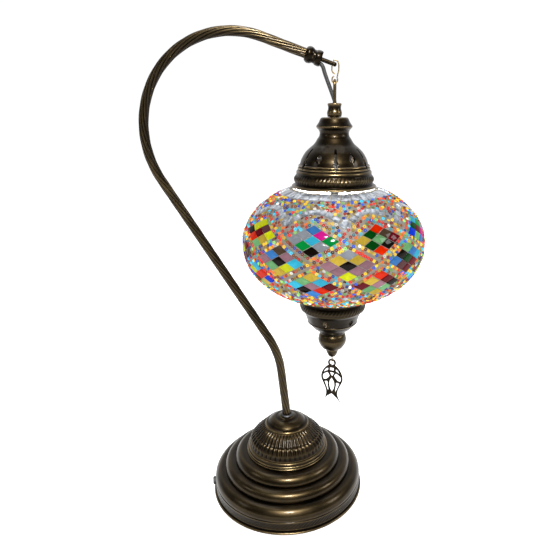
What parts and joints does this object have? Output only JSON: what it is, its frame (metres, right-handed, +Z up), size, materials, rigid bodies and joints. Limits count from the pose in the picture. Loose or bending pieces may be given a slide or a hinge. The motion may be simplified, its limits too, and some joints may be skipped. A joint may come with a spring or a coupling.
{
  "type": "table lamp",
  "caption": "Swan-neck brass table lamp: a tiered round base, a fluted hook-shaped neck and a hanging mosaic glass globe between pierced caps, with a tulip drop.",
  "frame": {"origin": "centre of the felt under the base", "axes": "+Z up along the base's axis, +X towards the hanging shade, front at -Y"},
  "size_m": [0.2703, 0.1768, 0.4789],
  "materials": {
    "base_shell": "antiqued, lacquered",
    "felt_pad": "felt",
    "bottom_plate": "zinc plated",
    "ballast": "rough cast",
    "plate_screw_1": "zinc plated",
    "plate_screw_2": "zinc plated",
    "plate_screw_3": "zinc plated",
    "cable_gland": "black nylon",
    "cord_saddle": "zinc plated",
    "saddle_screw_1": "zinc plated",
    "saddle_screw_2": "zinc plated",
    "feed_cable": "black sheath",
    "fluted_dome": "antiqued, lacquered",
    "dome_cap": "antiqued, lacquered",
    "neck_grommet": "black",
    "neck_jam_nut": "zinc plated",
    "neck_washer": "zinc plated",
    "neck_lock_nut": "zinc plated",
    "neck_tube": "antiqued, spiral fluted",
    "end_ferrule": "antiqued, turned",
    "hook_rod": "antiqued",
    "drop_cable": "black sheath",
    "s_hook": "bright wire",
    "hanging_loop": "antiqued wire",
    "cord_grip": "blackened",
    "grip_nut": "zinc plated",
    "top_cap": "antiqued, lacquered",
    "cap_clip_1": "spring steel",
    "cap_clip_2": "spring steel",
    "cap_clip_3": "spring steel",
    "lampholder": "black bakelite",
    "lamp_lead": "black sheath",
    "bulb_base": "bare",
    "bulb_glass": "opal",
    "glass_globe": "clear, blown",
    "mosaic_skin": "coloured tiles and beads in white grout",
    "lower_cap": "antiqued, lacquered",
    "bridge_bar": "zinc plated",
    "bridge_nut": "zinc plated",
    "tie_rod": "zinc plated",
    "finial_knob": "antiqued, turned",
    "finial_cone": "antiqued, turned",
    "finial_eye": "antiqued wire",
    "tulip_pendant": "antiqued, cast"
  },
  "bodies": {
    "stand": {"base_shell": "base_shell", "felt_pad": "felt_pad", "bottom_plate": "bottom_plate", "ballast": "ballast", "plate_screw_1": "plate_screw_1", "plate_screw_2": "plate_screw_2", "plate_screw_3": "plate_screw_3", "cable_gland": "cable_gland", "cord_saddle": "cord_saddle", "saddle_screw_1": "saddle_screw_1", "saddle_screw_2": "saddle_screw_2", "feed_cable": "feed_cable", "fluted_dome": "fluted_dome", "dome_cap": "dome_cap", "neck_grommet": "neck_grommet", "neck_jam_nut": "neck_jam_nut", "neck_washer": "neck_washer", "neck_lock_nut": "neck_lock_nut", "neck_tube": "neck_tube", "end_ferrule": "end_ferrule", "hook_rod": "hook_rod", "drop_cable": "drop_cable"},
    "hook": {"s_hook": "s_hook"},
    "shade": {"hanging_loop": "hanging_loop", "cord_grip": "cord_grip", "grip_nut": "grip_nut", "top_cap": "top_cap", "cap_clip_1": "cap_clip_1", "cap_clip_2": "cap_clip_2", "cap_clip_3": "cap_clip_3", "lampholder": "lampholder", "lamp_lead": "lamp_lead", "bulb_base": "bulb_base", "bulb_glass": "bulb_glass", "glass_globe": "glass_globe", "mosaic_skin": "mosaic_skin", "lower_cap": "lower_cap", "bridge_bar": "bridge_bar", "bridge_nut": "bridge_nut", "tie_rod": "tie_rod", "finial_knob": "finial_knob", "finial_cone": "finial_cone", "finial_eye": "finial_eye"},
    "tulip": {"tulip_pendant": "tulip_pendant"}
  },
  "joints": [
    {"name": "hook_swing", "type": "hinge", "parent": "stand", "child": "hook", "pos_m": [0.04946, 0, 0.44838], "axis": [0, 1, 0], "range_deg": [-6, 6], "deforming": ["drop_cable"]},
    {"name": "shade_swing", "type": "hinge", "parent": "hook", "child": "shade", "pos_m": [0.04946, 0, 0.43108], "axis": [1, 0, 0], "range_deg": [-20, 20], "deforming": ["drop_cable"]},
    {"name": "tulip_swing", "type": "hinge", "parent": "shade", "child": "tulip", "pos_m": [0.04946, 0, 0.15263], "axis": [0.3746, 0.9272, 0], "range_deg": [-60, 60]}
  ]
}
